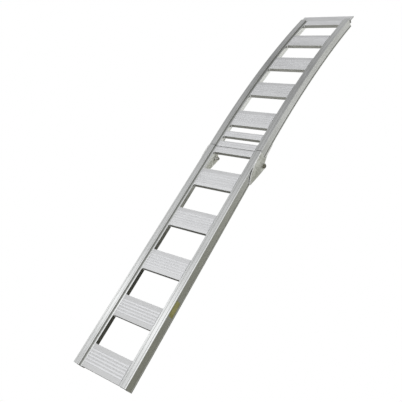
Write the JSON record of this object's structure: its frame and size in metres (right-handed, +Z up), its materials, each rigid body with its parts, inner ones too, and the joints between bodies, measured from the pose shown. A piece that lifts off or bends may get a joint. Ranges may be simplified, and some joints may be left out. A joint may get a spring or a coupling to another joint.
{
  "type": "folding loading ramp",
  "caption": "Two welded aluminium ladder frames, one straight and one arched, joined end to end by a hinge below the rails so that the ramp folds in half.",
  "frame": {"origin": "centre of the bounding box at the level the open ramp stands on", "axes": "+Y along the ramp from the foot to the lip, +Z up, +X to the right when looking up the ramp"},
  "size_m": [0.3298, 2.284, 0.1085],
  "materials": {
    "rail_aluminium": "mill finish, satin, with fine lines along the extrusion",
    "tread_aluminium": "mill finish, satin, ribbed across",
    "hinge_plate_aluminium": "sawn plate, matt",
    "zinc_plated_steel": "zinc plated"
  },
  "bodies": {
    "lower_section": {"lower_left_rail": "rail_aluminium", "lower_right_rail": "rail_aluminium", "lower_tread_1": "tread_aluminium", "lower_tread_2": "tread_aluminium", "lower_tread_3": "tread_aluminium", "lower_tread_4": "tread_aluminium", "lower_tread_5": "tread_aluminium", "lower_hinge_bar": "tread_aluminium", "hinge_left_outer_plate": "hinge_plate_aluminium", "hinge_left_inner_plate": "hinge_plate_aluminium", "pivot_left_head_washer": "zinc_plated_steel", "pivot_left_nut_washer": "zinc_plated_steel", "pivot_left_bolt": "zinc_plated_steel", "pivot_left_nut": "zinc_plated_steel", "hinge_right_outer_plate": "hinge_plate_aluminium", "hinge_right_inner_plate": "hinge_plate_aluminium", "pivot_right_head_washer": "zinc_plated_steel", "pivot_right_nut_washer": "zinc_plated_steel", "pivot_right_bolt": "zinc_plated_steel", "pivot_right_nut": "zinc_plated_steel"},
    "upper_section": {"upper_left_rail": "rail_aluminium", "upper_right_rail": "rail_aluminium", "upper_hinge_bar": "tread_aluminium", "upper_grab_bar": "tread_aluminium", "upper_tread_1": "tread_aluminium", "upper_tread_2": "tread_aluminium", "upper_tread_3": "tread_aluminium", "upper_tread_4": "tread_aluminium", "top_tread": "tread_aluminium", "lip_angle": "tread_aluminium", "hinge_left_bracket": "hinge_plate_aluminium", "pivot_left_spacer": "zinc_plated_steel", "hinge_right_bracket": "hinge_plate_aluminium", "pivot_right_spacer": "zinc_plated_steel"}
  },
  "joints": [
    {"name": "fold_hinge", "type": "hinge", "parent": "lower_section", "child": "upper_section", "pos_m": [0, 0.0056, 0.03684], "axis": [-1, 0, 0], "range_deg": [0, 176]}
  ]
}
